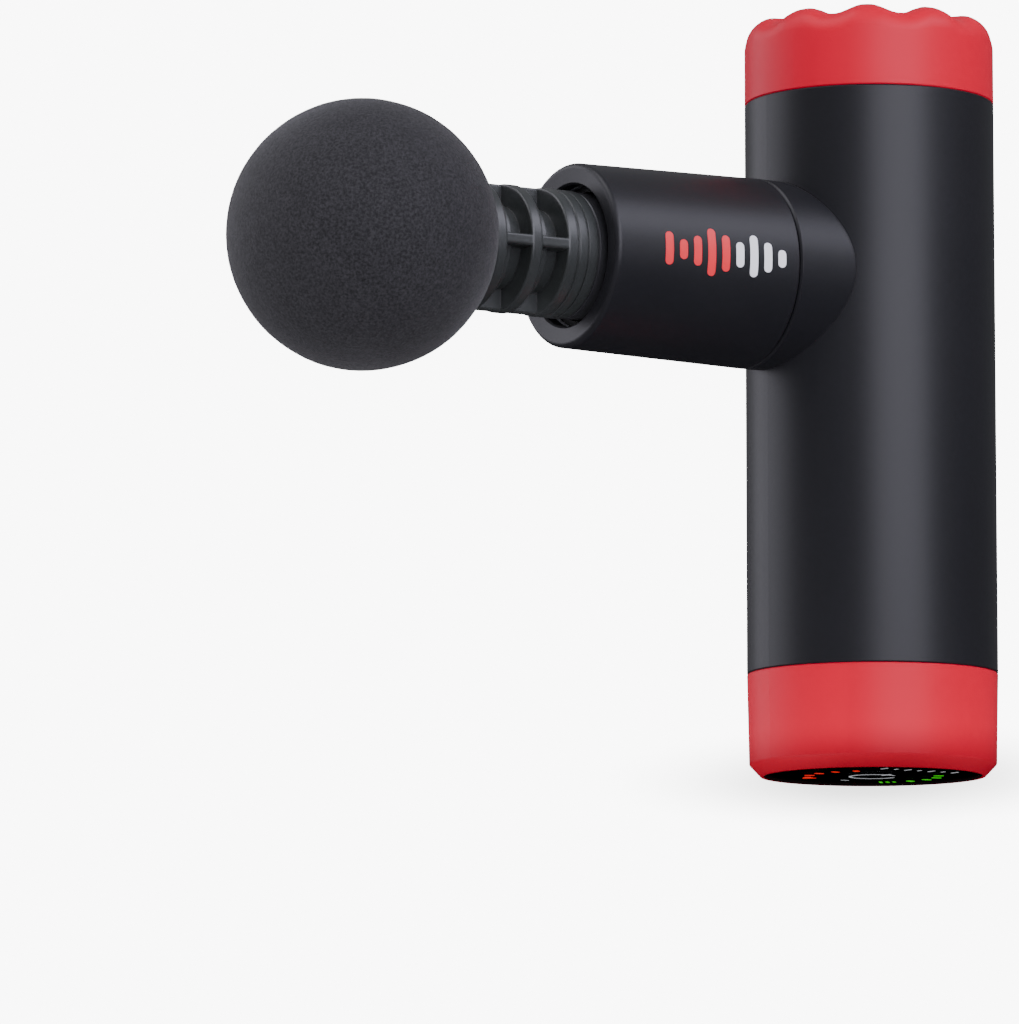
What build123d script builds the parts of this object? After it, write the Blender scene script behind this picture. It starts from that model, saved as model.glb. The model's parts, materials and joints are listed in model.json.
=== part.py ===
from build123d import *
from math import cos, radians, sin
import os

os.makedirs("parts", exist_ok=True)

# Mini massage gun. Millimetres. The origin is the centre of the base face, +Z runs up the
# handle and +X runs along the barrel, the way the head strikes.

# Driving dimensions
handle_r = 23.0
handle_inner_r = 21.4
base_ring_top = 18.75
sleeve_top = 124.4
crown_top = 140.0
barrel_z = 90.75
stroke = 7.0
crank_r = stroke / 2
stem_r = 11.55
nose_bore_r = 12.8
piston_r = 11.4
shank_r = 8.5
ball_r = 24.2
ball_x = 109.36
cell_r = 9.2
cell_length = 65.0
shaft_r = 2.0

# Clearances
slip = 0.05
press = 0.02
snug = 0.1
joint_gap = 0.3
seam_break = 0.22

# Stations along the barrel axis
housing_back = 14.0
frame_face = 21.3
collar_front = 27.35
nose_x = 66.5
flange_x = 67.0

# Heights along the handle axis
glass_t = 1.5
board_z = 4.2
board_t = 1.2
cell_z = 12.0
frame_floor = 80.0
frame_top = 101.5
plate_t = 3.5
plate_top = frame_top + plate_t

barrel = Plane(origin=(0, 0, barrel_z), x_dir=(0, 1, 0), z_dir=(1, 0, 0))
barrel_profile = Plane(origin=(0, 0, barrel_z), x_dir=(1, 0, 0), z_dir=(0, -1, 0))
barrel_axis = Axis((0, 0, barrel_z), (1, 0, 0))
on_low_end = (Align.CENTER, Align.CENTER, Align.MIN)
on_high_end = (Align.CENTER, Align.CENTER, Align.MAX)


def save(piece, name):
    """Labels a finished piece and writes it to its own file."""
    piece.part.label = name
    export_step(piece.part, f"parts/{name}.step")


def ring(outer, inner):
    """An annular sketch face centred on the sketch plane."""
    Circle(outer)
    Circle(inner, mode=Mode.SUBTRACT)


def band(low, high, inner, outer):
    """A rectangle on a turned profile, from low to high along the axis."""
    with Locations(((low + high) / 2, (inner + outer) / 2)):
        Rectangle(high - low, outer - inner)


# ---------------------------------------------------------------- casing of the handle

with BuildPart() as handle_sleeve:
    with BuildSketch(Plane.XY.offset(base_ring_top)):
        ring(handle_r, handle_inner_r)
    extrude(amount=sleeve_top - base_ring_top)
    rims = handle_sleeve.edges().filter_by(GeomType.CIRCLE).group_by(SortBy.RADIUS)[-1]
    chamfer(rims, seam_break)
    sleeve_hole_r = 15.1
    with BuildSketch(barrel):
        Circle(sleeve_hole_r)
    extrude(amount=handle_r + 1, mode=Mode.SUBTRACT)
save(handle_sleeve, "handle_sleeve")

# The crown is turned, then ten scoops are taken out of its rim. Each scoop is the underside
# of a large upright ring, so its floor falls gently outwards. Rounding the scoops' edges
# leaves ten soft lobes, and a shallow dish clears the middle of the top.
spigot_r = handle_inner_r - slip
spigot_inner_r = 20.0
spigot_depth = 5.4
lobes = 10
scoop_sweep_r = 30.0
scoop_r = 6.5
scoop_low_x = 22.0
scoop_depth = 1.75
lobe_round = 4.0
corner_r = 4.7
dish_r = 16.8
dish_depth = 1.9
crown_wall = 2.4
dish_z = crown_top - dish_depth
crest_angle = radians(180 / lobes)
crest_plane = Plane(
    origin=(0, 0, 0),
    x_dir=(cos(crest_angle), sin(crest_angle), 0),
    z_dir=(sin(crest_angle), -cos(crest_angle), 0),
)
with BuildPart() as crown_cap:
    with BuildSketch(crest_plane):
        with BuildLine():
            Polyline((0, dish_z - crown_wall), (0, crown_top), (handle_r - corner_r, crown_top))
            RadiusArc(
                (handle_r - corner_r, crown_top), (handle_r, crown_top - corner_r), corner_r
            )
            Polyline(
                (handle_r, crown_top - corner_r),
                (handle_r, sleeve_top + seam_break),
                (handle_r - seam_break, sleeve_top),
                (spigot_r, sleeve_top),
                (spigot_r, sleeve_top - spigot_depth),
                (spigot_inner_r, sleeve_top - spigot_depth),
                (spigot_inner_r, dish_z - crown_wall - 3),
                (spigot_inner_r - 3, dish_z - crown_wall),
                (0, dish_z - crown_wall),
            )
        make_face()
    revolve(axis=Axis.Z)
    with PolarLocations(scoop_low_x, lobes):
        with Locations((0, 0, crown_top - scoop_depth + scoop_sweep_r)):
            Torus(
                scoop_sweep_r - scoop_r, scoop_r, rotation=(90, 0, 0), mode=Mode.SUBTRACT
            )
    scoop_edges = crown_cap.edges(Select.LAST).filter_by(GeomType.CIRCLE, reverse=True)
    fillet(scoop_edges, lobe_round)
    with BuildSketch(Plane.XY.offset(dish_z)):
        Circle(dish_r)
    extrude(amount=dish_depth + 1, mode=Mode.SUBTRACT)
save(crown_cap, "crown_cap")

# The base ring tapers a little, ends in a chamfer round the glass and carries the port slot.
glass_r = 20.0
board_r = 18.2
port_z = board_z + board_t + 1.65
port_depth = 7.4
port_width = 8.94
port_height = 3.2
port_round = 1.55
port_clearance = 0.1
rim_r = 20.6
bend_r = 22.66
bend_z = 2.15
bend_round = 0.6
spigot_rise = 5.6
throat_z = base_ring_top + 0.8
ledge_low = 6.6
ledge_high = 8.4
with BuildPart() as base_ring:
    with BuildSketch(Plane.XZ):
        with BuildLine():
            Polyline(
                (glass_r + slip, 0),
                (rim_r, 0),
                (bend_r, bend_z),
                (handle_r, base_ring_top - seam_break),
                (handle_r - seam_break, base_ring_top),
                (spigot_r, base_ring_top),
                (spigot_r, base_ring_top + spigot_rise),
                (spigot_inner_r, base_ring_top + spigot_rise),
                (spigot_inner_r, throat_z),
                (rim_r, base_ring_top),
                (rim_r, ledge_high),
                (board_r + slip, ledge_low),
                (board_r + slip, glass_t + slip),
                (glass_r + slip, glass_t + slip),
                close=True,
            )
        make_face()
    revolve(axis=Axis.Z)
    outer_bend = base_ring.edges().filter_by(GeomType.CIRCLE).filter_by(
        lambda e: abs(e.radius - bend_r) < slip
    )
    fillet(outer_bend, bend_round)
    with BuildSketch(Plane.YZ.offset(-handle_r)):
        with Locations((0, port_z)):
            RectangleRounded(
                port_width + 2 * port_clearance, port_height + 2 * port_clearance, port_round
            )
    extrude(amount=port_depth, mode=Mode.SUBTRACT)
save(base_ring, "base_ring")

# ---------------------------------------------------------------- display in the base

glass_chamfer = 0.15
with BuildPart() as display_glass:
    Cylinder(glass_r, glass_t, align=on_low_end)
    chamfer(display_glass.edges().group_by(Axis.Z)[0], glass_chamfer)
save(display_glass, "display_glass")

# Lamps sit in wells of the baffle, on two arcs and round the power symbol.
lamp_arc_r = 12.0
lamp_step = 20.0
lamps_per_arc = 5
lamp_span = lamp_step * (lamps_per_arc - 1)
power_lamp_r = 3.0
power_lamps = 4
lamp_t = 0.6
lamp_width = 0.8
lamp_length = 1.6
lamp_well_r = 1.4
power_well_r = 5.4
lamp_face = board_z - lamp_t


def on_arc(middle):
    """Places along a lamp arc whose middle lies at the given angle."""
    return PolarLocations(
        lamp_arc_r, lamps_per_arc, start_angle=middle - lamp_span / 2, angular_range=lamp_span,
        endpoint=True,
    )


with BuildPart() as light_baffle:
    with BuildSketch(Plane.XY.offset(glass_t + slip)):
        Circle(board_r)
        for middle in (0, 180):
            with on_arc(middle):
                Circle(lamp_well_r, mode=Mode.SUBTRACT)
        Circle(power_well_r, mode=Mode.SUBTRACT)
    extrude(amount=board_z - glass_t - slip)
save(light_baffle, "light_baffle")

with BuildPart() as display_board:
    with BuildSketch(Plane.XY.offset(board_z)):
        Circle(board_r)
    extrude(amount=board_t)
save(display_board, "display_board")

for name, middle in (("red_leds", 0), ("green_leds", 180)):
    with BuildPart() as leds:
        with BuildSketch(Plane.XY.offset(lamp_face)):
            with on_arc(middle):
                Rectangle(lamp_width, lamp_length)
        extrude(amount=lamp_t)
    save(leds, name)

with BuildPart() as white_leds:
    with BuildSketch(Plane.XY.offset(lamp_face)):
        with PolarLocations(power_lamp_r, power_lamps):
            Rectangle(lamp_width, lamp_length)
    extrude(amount=lamp_t)
save(white_leds, "white_leds")

port_mouth = -22.2
port_wall = 0.3
tongue_width = 6.7
tongue_t = 0.7
tongue_round = 0.3
tongue_inset = 0.8
with BuildPart() as usb_shell:
    with BuildSketch(Plane.YZ.offset(port_mouth)):
        with Locations((0, port_z)):
            RectangleRounded(port_width, port_height, port_round)
    extrude(amount=port_depth)
    offset(amount=-port_wall, openings=usb_shell.faces().sort_by(Axis.X)[0])
save(usb_shell, "usb_shell")

with BuildPart() as usb_tongue:
    with BuildSketch(Plane.YZ.offset(port_mouth + tongue_inset)):
        with Locations((0, port_z)):
            RectangleRounded(tongue_width, tongue_t, tongue_round)
    extrude(amount=port_depth - tongue_inset - port_wall)
save(usb_tongue, "usb_tongue")

# ---------------------------------------------------------------- battery and main board

cell_y = 9.4
cell_top = cell_z + cell_length
cell_places = [(0, -cell_y), (0, cell_y)]
button_t = 0.8
link_t = 0.2
holder_r = 19.8
board_face = -11.6
post_back = -10.35
post_front = -6.9
post_width = 5.0
holder_low = 9.6
ribbon_y = 5.5
ribbon_x = -14.2
main_board_low = 18.0
main_board_high = 70.0
board_screw_heights = (21.5, 66.5)
board_screw_r = 0.98
board_screw_length = 4.0
board_screw_head_r = 1.9
board_screw_head_t = 1.2
post_hole_r = 1.0
post_height = 9.0
button_r = 3.0
crimp_round = 0.6
holder_fit = 0.1
holder_lower_top = 17.0
ribbon_slot = 2.6
ribbon_slot_width = 9.0
link_width = 7.0
link_cap_length = 9.0
link_round = 1.0
cell_room = 20.0

with BuildPart() as battery_cells:
    with Locations([(x, y, cell_z) for x, y in cell_places]):
        Cylinder(cell_r, cell_length - button_t, align=on_low_end)
        Cylinder(button_r, cell_length, align=on_low_end)
    crimp = battery_cells.edges().filter_by(GeomType.CIRCLE).filter_by(
        lambda e: abs(e.radius - cell_r) < slip
    )
    fillet(crimp, crimp_round)
save(battery_cells, "battery_cells")

with BuildPart() as cell_links:
    with BuildSketch(Plane.XY.offset(cell_z - link_t)):
        RectangleRounded(link_width, 2 * cell_y + link_width, link_round)
    extrude(amount=link_t)
    with BuildSketch(Plane.XY.offset(cell_top)):
        with Locations(cell_places):
            RectangleRounded(link_cap_length, link_width, link_round)
    extrude(amount=link_t)
save(cell_links, "cell_links")

with BuildPart() as battery_holder_lower:
    with BuildSketch(Plane.XY.offset(holder_low)):
        Circle(holder_r)
        with Locations((ribbon_x, ribbon_y)):
            Rectangle(ribbon_slot, ribbon_slot_width, mode=Mode.SUBTRACT)
    extrude(amount=holder_lower_top - holder_low)
    with BuildSketch(Plane.XY.offset(holder_lower_top)):
        with Locations(((post_back + post_front) / 2, 0)):
            Rectangle(post_front - post_back, post_width)
    extrude(amount=post_height)
    with Locations([(x, y, cell_z) for x, y in cell_places]):
        Cylinder(cell_r + holder_fit, cell_room, align=on_low_end, mode=Mode.SUBTRACT)
    with BuildSketch(Plane.XY.offset(cell_z - link_t)):
        RectangleRounded(
            link_width + 2 * holder_fit, 2 * cell_y + link_width + 2 * holder_fit, link_round
        )
    extrude(amount=link_t, mode=Mode.SUBTRACT)
    with BuildSketch(Plane.YZ.offset(post_back)):
        with Locations((0, board_screw_heights[0])):
            Circle(post_hole_r)
    extrude(amount=board_screw_length - board_t + 0.2, mode=Mode.SUBTRACT)
save(battery_holder_lower, "battery_holder_lower")

upper_holder_r = 20.8
upper_holder_low = 71.0
upper_holder_t = 8.4
holder_side = 20.0
contact_x = -13.0
contact_size = (4.4, 3.2)
groove_x = -9.0
groove_size = (11.0, 2.0)
wire_slot_x = -18.3
wire_slot_width = 7.2
boss_clear_x = 13.2
holder_slot_x = -13.2
lead_r = 0.8
lead_z = cell_top + link_t + lead_r + slip
lead_room = lead_z + 1.0
with BuildPart() as battery_holder_upper:
    with BuildSketch(Plane.XY.offset(upper_holder_low)):
        Circle(upper_holder_r)
        with Locations((boss_clear_x + holder_side / 2, 0)):
            Rectangle(holder_side, 2 * handle_r, mode=Mode.SUBTRACT)
        with Locations((holder_slot_x - holder_side / 2, 0)):
            Rectangle(holder_side, wire_slot_width, mode=Mode.SUBTRACT)
    extrude(amount=upper_holder_t)
    with BuildSketch(Plane.XY.offset(upper_holder_low - post_height)):
        with Locations(((post_back + post_front) / 2, 0)):
            Rectangle(post_front - post_back, post_width)
    extrude(amount=post_height)
    with Locations([(x, y, cell_top + link_t + slip) for x, y in cell_places]):
        Cylinder(cell_r + holder_fit, cell_room, align=on_high_end, mode=Mode.SUBTRACT)
    for side in (-cell_y, cell_y):
        with Locations((contact_x, side, upper_holder_low)):
            Box(
                *contact_size, lead_room - upper_holder_low, align=on_low_end,
                mode=Mode.SUBTRACT,
            )
        with Locations((groove_x, side, cell_top)):
            Box(*groove_size, lead_room - cell_top, align=on_low_end, mode=Mode.SUBTRACT)
    with BuildSketch(Plane.YZ.offset(post_back)):
        with Locations((0, board_screw_heights[1])):
            Circle(post_hole_r)
    extrude(amount=board_screw_length - board_t + 0.2, mode=Mode.SUBTRACT)
save(battery_holder_upper, "battery_holder_upper")

main_board_width = 24.0
board_hole_r = 1.1
with BuildPart() as main_board:
    board_middle = (main_board_low + main_board_high) / 2
    with BuildSketch(Plane.YZ.offset(board_face)):
        with Locations((0, board_middle)):
            RectangleRounded(main_board_width, main_board_high - main_board_low, link_round)
        with Locations([(0, z) for z in board_screw_heights]):
            Circle(board_hole_r, mode=Mode.SUBTRACT)
    extrude(amount=board_t)
save(main_board, "main_board")

chip_pitch = 7.5
switch_pitch = 7.0
switch_size = 5.0
switch_z = 50.0
processor_size = 7.0
processor_z = 37.0
driver_size = (3.0, 5.0)
chip_t = 1.0
with BuildPart() as board_chips:
    with BuildSketch(Plane.YZ.offset(board_face)):
        with GridLocations(chip_pitch, switch_pitch, 3, 2):
            with Locations((0, switch_z)):
                Rectangle(switch_size, switch_size)
        with Locations((0, processor_z)):
            Rectangle(processor_size, processor_size)
        with Locations((-chip_pitch, processor_z), (chip_pitch, processor_z)):
            Rectangle(*driver_size)
    extrude(amount=-chip_t)
save(board_chips, "board_chips")

inductor_size = 6.4
inductor_t = 3.2
inductor_corner = 1.0
inductor_place = (board_face - inductor_t / 2, -chip_pitch, 28.5)
with BuildPart() as board_inductor:
    with Locations(inductor_place):
        Box(inductor_t, inductor_size, inductor_size)
    chamfer(board_inductor.edges().filter_by(Axis.X), inductor_corner)
save(board_inductor, "board_inductor")

capacitor_r = 2.5
capacitor_length = 8.0
capacitor_round = 0.5
capacitor_place = (board_face - capacitor_r - 0.1, -1.6, 24.5)
with BuildPart() as board_capacitor:
    with Locations(capacitor_place):
        Cylinder(capacitor_r, capacitor_length, align=on_low_end)
    fillet(board_capacitor.edges().group_by(Axis.Z)[-1], capacitor_round)
save(board_capacitor, "board_capacitor")

battery_socket_z = 64.5
motor_socket_z = 60.5
ribbon_socket_z = 28.0
socket_size = 4.0
battery_socket_width = 4.6
motor_socket_width = 7.0
ribbon_socket_t = 1.2
ribbon_socket_width = 8.4
ribbon_socket_height = 2.4
with BuildPart() as board_sockets:
    with Locations(
        [(board_face - socket_size / 2, y, battery_socket_z) for y in (-cell_y, cell_y)]
    ):
        Box(socket_size, battery_socket_width, socket_size)
    with Locations((board_face - socket_size / 2, 0, motor_socket_z)):
        Box(socket_size, motor_socket_width, socket_size)
    with Locations((board_face - ribbon_socket_t / 2, ribbon_y, ribbon_socket_z)):
        Box(ribbon_socket_t, ribbon_socket_width, ribbon_socket_height)
save(board_sockets, "board_sockets")

with BuildPart() as board_screws:
    with BuildSketch(Plane.YZ.offset(board_face)):
        with Locations([(0, z) for z in board_screw_heights]):
            Circle(board_screw_head_r)
    extrude(amount=-board_screw_head_t)
    with BuildSketch(Plane.YZ.offset(board_face)):
        with Locations([(0, z) for z in board_screw_heights]):
            Circle(board_screw_r)
    extrude(amount=board_screw_length)
save(board_screws, "board_screws")

# ---------------------------------------------------------------- chassis of the drive

frame_r = 21.2
cavity_r = 17.5
boss_r = 15.6
boss_back = 13.5
thread_r = 13.95
screw_circle_r = 19.35
screw_angles = (50, 130, 230, 310)
pad_angles = (65, 125, 235, 295)
screw_places = [
    (screw_circle_r * cos(radians(a)), screw_circle_r * sin(radians(a))) for a in screw_angles
]
frame_wall = 4.0
frame_screw_r = 1.0
frame_screw_reach = 7.6
frame_screw_head_r = 1.85
frame_screw_head_t = 1.5
hex_key_r = 1.0
pad_width = 7.0
pad_recess = 0.7
pad_height = 16.0
pad_z = frame_floor + 2.0
slot_depth = 10.0
cut_length = 60.0


def pad_outlines(width, outer, inner):
    """Short arcs of a ring at the pad angles."""
    for angle in pad_angles:
        with Locations(Location((0, 0, 0), (0, 0, angle))):
            with Locations((frame_r, 0)):
                Rectangle(pad_width, width)
    Circle(outer, mode=Mode.INTERSECT)
    Circle(inner, mode=Mode.SUBTRACT)


with BuildPart() as drive_frame:
    with BuildSketch(barrel.offset(boss_back)):
        Circle(boss_r)
    extrude(amount=frame_r - boss_back)
    with BuildSketch(Plane.XY.offset(frame_floor - holder_side)):
        Circle(frame_r)
    extrude(amount=cut_length, mode=Mode.INTERSECT)
    with BuildSketch(Plane.XY.offset(frame_floor)):
        Circle(frame_r)
    extrude(amount=frame_top - frame_floor)
    with BuildSketch(Plane.XY.offset(frame_floor + frame_wall)):
        Circle(cavity_r)
    extrude(amount=frame_top - frame_floor - frame_wall, mode=Mode.SUBTRACT)
    with BuildSketch(barrel.offset(boss_back - frame_wall)):
        Circle(thread_r)
    extrude(amount=cut_length, mode=Mode.SUBTRACT)
    with BuildSketch(Plane.XY.offset(frame_floor)):
        with Locations((wire_slot_x - slot_depth / 2, 0)):
            Rectangle(slot_depth, wire_slot_width)
    extrude(amount=frame_top - frame_floor, mode=Mode.SUBTRACT)
    with BuildSketch(Plane.XY.offset(frame_top)):
        with Locations(screw_places):
            Circle(frame_screw_r + press)
    extrude(amount=-frame_screw_reach - joint_gap, mode=Mode.SUBTRACT)
    with BuildSketch(Plane.XY.offset(pad_z)):
        pad_outlines(pad_width, frame_r + 1, frame_r - pad_recess)
    extrude(amount=pad_height, mode=Mode.SUBTRACT)
save(drive_frame, "drive_frame")

with BuildPart() as frame_pads:
    with BuildSketch(Plane.XY.offset(pad_z + slip)):
        pad_outlines(pad_width - 2 * slip, handle_inner_r - slip, frame_r - pad_recess + slip)
    extrude(amount=pad_height - 2 * slip)
save(frame_pads, "frame_pads")

motor_screw_circle_r = 7.0
motor_screw_r = 0.78
motor_screw_reach = 3.2
motor_screw_head_r = 1.4
motor_screw_head_t = 0.8
motor_hex_key_r = 0.8
mount_flange_t = 2.0
mount_flange_r = 9.0
mount_hole_r = 1.05
plate_hole_r = 3.2
frame_screw_hole_r = 1.15
motor_screw_places = [
    (motor_screw_circle_r * cos(radians(a)), motor_screw_circle_r * sin(radians(a)))
    for a in (90, 210, 330)
]
with BuildPart() as motor_plate:
    with BuildSketch(Plane.XY.offset(frame_top)):
        Circle(frame_r)
        Circle(plate_hole_r, mode=Mode.SUBTRACT)
        with Locations((wire_slot_x - slot_depth / 2, 0)):
            Rectangle(slot_depth, wire_slot_width, mode=Mode.SUBTRACT)
        with Locations(screw_places):
            Circle(frame_screw_hole_r, mode=Mode.SUBTRACT)
        with Locations(motor_screw_places):
            Circle(motor_screw_r + press, mode=Mode.SUBTRACT)
    extrude(amount=plate_t)
    with BuildSketch(barrel.offset(boss_back - snug)):
        Circle(boss_r + snug)
    extrude(amount=cut_length, mode=Mode.SUBTRACT)
save(motor_plate, "motor_plate")

with BuildPart() as frame_screws:
    with BuildSketch(Plane.XY.offset(frame_top - frame_screw_reach)):
        with Locations(screw_places):
            Circle(frame_screw_r)
    extrude(amount=plate_t + frame_screw_reach)
    with BuildSketch(Plane.XY.offset(plate_top)):
        with Locations(screw_places):
            Circle(frame_screw_head_r)
            RegularPolygon(hex_key_r, 6, mode=Mode.SUBTRACT)
    extrude(amount=frame_screw_head_t)
save(frame_screws, "frame_screws")

# ---------------------------------------------------------------- barrel

housing_r = 14.9
housing_front = 63.5
shoulder_r = 16.2
shoulder_back = 25.2
shoulder_front = 27.2
neck_r = piston_r + 0.35
neck_front = 23.0
edge_break = 0.3
with BuildPart() as guide_housing:
    with BuildSketch(barrel_profile):
        band(housing_back, neck_front, neck_r, thread_r - slip)
        band(frame_face, housing_front, nose_bore_r, housing_r)
        band(frame_face, neck_front, neck_r, housing_r)
        band(shoulder_back + slip, shoulder_front, nose_bore_r, shoulder_r)
    revolve(axis=barrel_axis)
    chamfer(guide_housing.edges().group_by(Axis.X)[-1], edge_break)
save(guide_housing, "guide_housing")

bush_length = 10.0
bush_places = (neck_front + slip, 50.0)
with BuildPart() as guide_bushes:
    with BuildSketch(barrel_profile):
        for start in bush_places:
            band(start, start + bush_length, piston_r + slip, nose_bore_r - press / 2)
    revolve(axis=barrel_axis)
save(guide_bushes, "guide_bushes")

seal_back = 60.5
seal_front = 63.0
with BuildPart() as dust_seal:
    with BuildSketch(barrel_profile):
        band(seal_back, seal_front, piston_r + joint_gap, nose_bore_r - press / 2)
    revolve(axis=barrel_axis)
save(dust_seal, "dust_seal")

collar_r = 17.4
collar_root_r = 17.2
collar_start = 10.0
groove_r = collar_r - 0.4
groove_reach = 0.45
with BuildPart() as saddle_collar:
    with BuildSketch(barrel_profile):
        with BuildLine():
            Polyline(
                (collar_start, housing_r + snug),
                (shoulder_back, housing_r + snug),
                (shoulder_back, shoulder_r + snug),
                (collar_front - snug, shoulder_r + snug),
                (collar_front - snug, groove_r),
                (collar_front - groove_reach, collar_r),
                (collar_start, collar_root_r),
                close=True,
            )
        make_face()
    revolve(axis=barrel_axis)
    Cylinder(handle_r + press, crown_top, align=on_low_end, mode=Mode.SUBTRACT)
save(saddle_collar, "saddle_collar")

nose_r = 16.7
nose_round = 1.0
mouth_round = 0.35
dish_in = 0.3
lip_back = 64.0
with BuildPart() as barrel_sleeve:
    with BuildSketch(barrel_profile):
        with BuildLine():
            Polyline(
                (nose_x - nose_round, nose_r),
                (collar_front + groove_reach, collar_r),
                (collar_front + snug, groove_r),
                (collar_front + snug, housing_r + snug),
                (lip_back, housing_r + snug),
                (lip_back, nose_bore_r),
                (nose_x - dish_in - mouth_round, nose_bore_r),
                (nose_x - dish_in, nose_bore_r + mouth_round),
                (nose_x, nose_r - nose_round),
            )
            RadiusArc(
                (nose_x, nose_r - nose_round), (nose_x - nose_round, nose_r), -nose_round
            )
        make_face()
    revolve(axis=barrel_axis)
save(barrel_sleeve, "barrel_sleeve")

# ---------------------------------------------------------------- motor

mount_r = 5.2
bearing_r = 4.0
stator_low = plate_top + 4.5
stator_high = stator_low + 10.5
stator_r = 14.3
stator_teeth = 12
bell_r = 17.0
bell_low = plate_top + 2.9
bell_high = 125.4
magnet_t = 1.25
magnets = 14
bearing_width = 3.0
lower_bearing_z = plate_top + 0.2
upper_bearing_z = stator_high + 0.4
mount_top = upper_bearing_z + bearing_width
inner_race_r = 2.7
outer_race_r = 3.4
bearing_ball_r = 0.31
balls_per_bearing = 8
hub_r = 7.4
tooth_middle_r = 9.9
tooth_length = 6.0
tooth_width = 1.9
shoe_inner_r = 12.9
shoe_middle_r = 13.6
shoe_gap = 1.6
coil_middle_r = 10.3
coil_length = 4.0
coil_width = 3.5
coil_end = 1.6
coil_gap = 0.1
coil_round = 0.1

with BuildPart() as motor_mount:
    with BuildSketch(Plane.XY.offset(plate_top)):
        Circle(mount_flange_r)
        Circle(bearing_r + press, mode=Mode.SUBTRACT)
        with Locations(motor_screw_places):
            Circle(mount_hole_r, mode=Mode.SUBTRACT)
    extrude(amount=mount_flange_t)
    with BuildSketch(Plane.XY.offset(plate_top)):
        ring(mount_r, bearing_r + press)
    extrude(amount=mount_top - plate_top)
save(motor_mount, "motor_mount")

with BuildPart() as motor_screws:
    with BuildSketch(Plane.XY.offset(plate_top - motor_screw_reach)):
        with Locations(motor_screw_places):
            Circle(motor_screw_r)
    extrude(amount=motor_screw_reach + mount_flange_t)
    with BuildSketch(Plane.XY.offset(plate_top + mount_flange_t)):
        with Locations(motor_screw_places):
            Circle(motor_screw_head_r)
            RegularPolygon(motor_hex_key_r, 6, mode=Mode.SUBTRACT)
    extrude(amount=motor_screw_head_t)
save(motor_screws, "motor_screws")

with BuildPart() as stator_core:
    with BuildSketch(Plane.XY.offset(stator_low)):
        Circle(hub_r)
        with PolarLocations(tooth_middle_r, stator_teeth):
            Rectangle(tooth_length, tooth_width)
        with BuildSketch(mode=Mode.ADD):
            ring(stator_r, shoe_inner_r)
            with PolarLocations(shoe_middle_r, stator_teeth, start_angle=180 / stator_teeth):
                Rectangle(coil_length, shoe_gap, mode=Mode.SUBTRACT)
        Circle(mount_r + press, mode=Mode.SUBTRACT)
    extrude(amount=stator_high - stator_low)
save(stator_core, "stator_core")

with BuildPart() as stator_windings:
    with BuildSketch(Plane.XY.offset(stator_low - coil_end)):
        with PolarLocations(coil_middle_r, stator_teeth):
            Rectangle(coil_length, coil_width)
    extrude(amount=stator_high - stator_low + 2 * coil_end)
    with BuildSketch(Plane.XY.offset(stator_low - coil_gap)):
        with PolarLocations(coil_middle_r, stator_teeth):
            Rectangle(coil_length + 2 * coil_gap, tooth_width + coil_gap)
    extrude(amount=stator_high - stator_low + 2 * coil_gap, mode=Mode.SUBTRACT)
    fillet(stator_windings.edges().filter_by(Axis.Z).group_by(Axis.Z)[-1], coil_round)
save(stator_windings, "stator_windings")

with BuildPart() as bearing_outer_races:
    for low in (lower_bearing_z, upper_bearing_z):
        with BuildSketch(Plane.XY.offset(low)):
            ring(bearing_r, outer_race_r)
        extrude(amount=bearing_width)
save(bearing_outer_races, "bearing_outer_races")

with BuildPart() as bearing_inner_races:
    for low in (lower_bearing_z, upper_bearing_z):
        with BuildSketch(Plane.XY.offset(low)):
            ring(inner_race_r, shaft_r + press)
        extrude(amount=bearing_width)
save(bearing_inner_races, "bearing_inner_races")

with BuildPart() as bearing_balls:
    for low in (lower_bearing_z, upper_bearing_z):
        with Locations((0, 0, low + bearing_width / 2)):
            with PolarLocations((inner_race_r + outer_race_r) / 2, balls_per_bearing):
                Sphere(bearing_ball_r)
save(bearing_balls, "bearing_balls")

bell_wall = 1.1
bell_top_t = 1.6
bell_round = 0.8
vent_middle_r = 10.5
vent_length = 4.5
vent_width = 3.6
vents = 6
with BuildPart() as motor_bell:
    with BuildSketch(Plane.XY.offset(bell_low)):
        ring(bell_r, bell_r - bell_wall)
    extrude(amount=bell_high - bell_low)
    with BuildSketch(Plane.XY.offset(bell_high - bell_top_t)):
        Circle(bell_r)
        with PolarLocations(vent_middle_r, vents):
            SlotCenterToCenter(vent_length, vent_width, mode=Mode.SUBTRACT)
    extrude(amount=bell_top_t)
    with BuildSketch(Plane.XY.offset(mount_top + snug)):
        Circle(inner_race_r)
    extrude(amount=bell_high - mount_top - snug)
    bell_rim = motor_bell.edges().filter_by(GeomType.CIRCLE).group_by(Axis.Z)[-1]
    fillet(bell_rim.sort_by(SortBy.RADIUS)[-1], bell_round)
    Cylinder(shaft_r + press / 2, crown_top, align=on_low_end, mode=Mode.SUBTRACT)
save(motor_bell, "motor_bell")

magnet_r = bell_r - bell_wall - press
magnet_gap = 0.5
magnet_overhang = 0.4
with BuildPart() as motor_magnets:
    with BuildSketch(Plane.XY.offset(stator_low - magnet_overhang)):
        ring(magnet_r, magnet_r - magnet_t)
        with PolarLocations(magnet_r - magnet_t / 2, magnets):
            Rectangle(2 * magnet_t, magnet_gap, mode=Mode.SUBTRACT)
    extrude(amount=stator_high - stator_low + 2 * magnet_overhang)
save(motor_magnets, "motor_magnets")

wheel_low = 95.0
wheel_t = 5.5
shaft_low = 97.9
pin_high = 97.7
with BuildPart() as motor_shaft:
    with BuildSketch(Plane.XY.offset(shaft_low)):
        Circle(shaft_r)
    extrude(amount=bell_high - shaft_low)
    chamfer(motor_shaft.edges().filter_by(GeomType.CIRCLE), edge_break)
save(motor_shaft, "motor_shaft")

# ---------------------------------------------------------------- crank

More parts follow.
